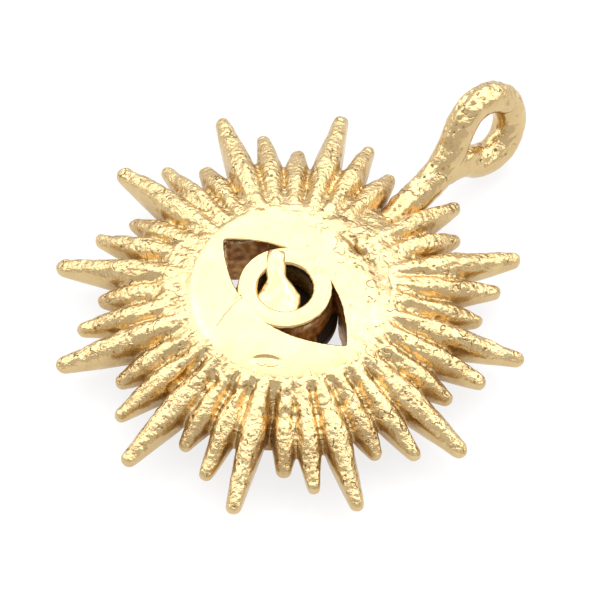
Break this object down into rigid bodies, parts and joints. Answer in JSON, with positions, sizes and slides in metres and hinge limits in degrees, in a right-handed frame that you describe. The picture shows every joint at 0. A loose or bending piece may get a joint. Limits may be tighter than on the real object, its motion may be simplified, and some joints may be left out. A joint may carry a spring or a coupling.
{
  "type": "sunburst eye charm",
  "caption": "Small cast brass charm: a sun of round tapering rays about an open eye with a dark pupil, and a twisted hanging loop on a stem.",
  "frame": {"origin": "middle of the bottom of the whole charm's box, in the plane of its flat back", "axes": "+Z leaves the face, +Y runs out along the stem of the hanging loop, X runs from corner to corner of the eye"},
  "size_m": [0.02, 0.0238, 0.0045],
  "materials": {
    "gold_rays": "gold plated, cast and lightly pitted",
    "gold_crown": "gold plated, smooth satin",
    "gold_wire": "gold plated, polished with casting dimples",
    "black_backing": "black, smooth"
  },
  "bodies": {
    "root": {"ray_ring": "gold_rays", "eye_crown": "gold_crown", "iris_ring": "gold_crown", "pupil_bar": "gold_crown", "hanging_eye": "gold_wire", "pupil_backing": "black_backing"}
  },
  "joints": []
}
